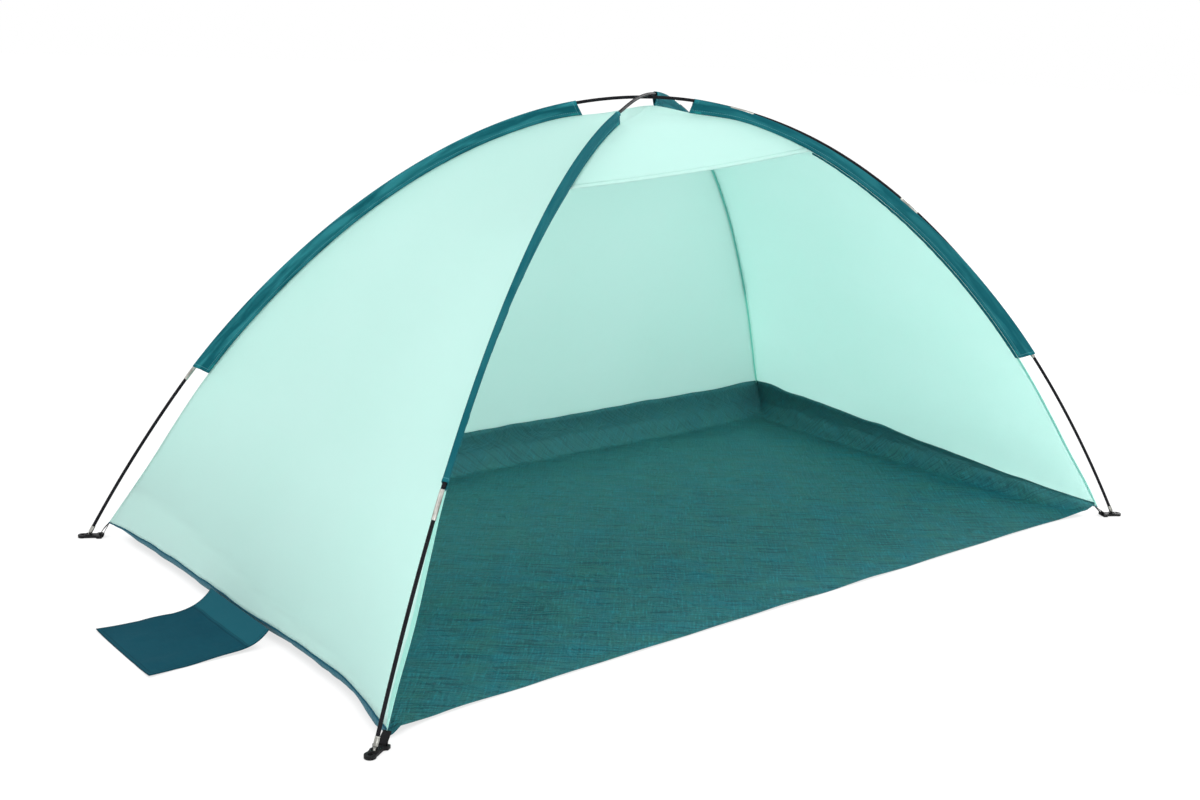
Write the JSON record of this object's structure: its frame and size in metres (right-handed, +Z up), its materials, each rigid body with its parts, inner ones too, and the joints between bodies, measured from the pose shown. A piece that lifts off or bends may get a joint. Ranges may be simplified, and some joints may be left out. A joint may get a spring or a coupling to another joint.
{
  "type": "beach tent",
  "caption": "Half-dome beach shelter of cloth on crossed bent poles, open in front, with a turned-up floor, a small visor, pole sleeves, corner feet and fold-out sand flaps.",
  "frame": {"origin": "on the ground under the crown, at the centre of the base", "axes": "+X along the open front from its left corner to its right, -Y out of the opening, +Z up"},
  "size_m": [2.4116, 1.216, 0.975],
  "materials": {
    "aqua_cloth": "matte coated polyester",
    "teal_cloth": "matte coated polyester",
    "floor_cloth": "woven matte sheet",
    "flap_cloth": "matte coated polyester",
    "fibreglass": "satin black fibreglass tube",
    "ferrule_steel": "plated steel tube",
    "tip_steel": "plated steel",
    "foot_plastic": "moulded black plastic",
    "webbing": "woven webbing",
    "elastic": "covered elastic cord"
  },
  "bodies": {
    "tent": {"groundsheet": "floor_cloth", "left_wall": "aqua_cloth", "right_wall": "aqua_cloth", "back_wall": "aqua_cloth", "visor": "aqua_cloth", "front_left_sleeve": "teal_cloth", "front_left_pole_tip": "tip_steel", "front_left_webbing_loop": "webbing", "front_right_sleeve": "teal_cloth", "front_right_pole_tip": "tip_steel", "front_right_webbing_loop": "webbing", "back_left_sleeve": "teal_cloth", "back_left_pole_tip": "tip_steel", "back_left_webbing_loop": "webbing", "back_right_sleeve": "teal_cloth", "back_right_pole_tip": "tip_steel", "back_right_webbing_loop": "webbing", "lower_pole_section_1": "fibreglass", "lower_pole_section_2": "fibreglass", "lower_pole_section_3": "fibreglass", "lower_pole_section_4": "fibreglass", "lower_pole_section_5": "fibreglass", "lower_pole_section_6": "fibreglass", "lower_pole_section_7": "fibreglass", "lower_pole_ferrule_1": "ferrule_steel", "lower_pole_ferrule_2": "ferrule_steel", "lower_pole_ferrule_3": "ferrule_steel", "lower_pole_ferrule_4": "ferrule_steel", "lower_pole_ferrule_5": "ferrule_steel", "lower_pole_ferrule_6": "ferrule_steel", "lower_pole_elastic": "elastic", "upper_pole_section_1": "fibreglass", "upper_pole_section_2": "fibreglass", "upper_pole_section_3": "fibreglass", "upper_pole_section_4": "fibreglass", "upper_pole_section_5": "fibreglass", "upper_pole_section_6": "fibreglass", "upper_pole_section_7": "fibreglass", "upper_pole_ferrule_1": "ferrule_steel", "upper_pole_ferrule_2": "ferrule_steel", "upper_pole_ferrule_3": "ferrule_steel", "upper_pole_ferrule_4": "ferrule_steel", "upper_pole_ferrule_5": "ferrule_steel", "upper_pole_ferrule_6": "ferrule_steel", "upper_pole_elastic": "elastic"},
    "front_left_foot": {"front_left_foot": "foot_plastic"},
    "front_right_foot": {"front_right_foot": "foot_plastic"},
    "back_left_foot": {"back_left_foot": "foot_plastic"},
    "back_right_foot": {"back_right_foot": "foot_plastic"},
    "left_sand_flap": {"left_sand_flap": "flap_cloth"},
    "right_sand_flap": {"right_sand_flap": "flap_cloth"}
  },
  "joints": [
    {"name": "front_left_foot_swivel", "type": "hinge", "parent": "tent", "child": "front_left_foot", "pos_m": [-1.03411, -0.59151, 0.00605], "axis": [0, 0, 1], "range_deg": [-5, 5]},
    {"name": "front_right_foot_swivel", "type": "hinge", "parent": "tent", "child": "front_right_foot", "pos_m": [1.03411, -0.59151, 0.00605], "axis": [0, 0, 1], "range_deg": [-5, 5]},
    {"name": "back_left_foot_swivel", "type": "hinge", "parent": "tent", "child": "back_left_foot", "pos_m": [-1.03411, 0.59151, 0.00605], "axis": [0, 0, 1], "range_deg": [-5, 5]},
    {"name": "back_right_foot_swivel", "type": "hinge", "parent": "tent", "child": "back_right_foot", "pos_m": [1.03411, 0.59151, 0.00605], "axis": [0, 0, 1], "range_deg": [-5, 5]},
    {"name": "left_sand_flap_fold", "type": "hinge", "parent": "tent", "child": "left_sand_flap", "pos_m": [-0.9813, -0.02, 0.03234], "axis": [0, 1, 0], "range_deg": [0, 115]},
    {"name": "right_sand_flap_fold", "type": "hinge", "parent": "tent", "child": "right_sand_flap", "pos_m": [0.9813, -0.02, 0.03234], "axis": [0, -1, 0], "range_deg": [0, 115]}
  ]
}
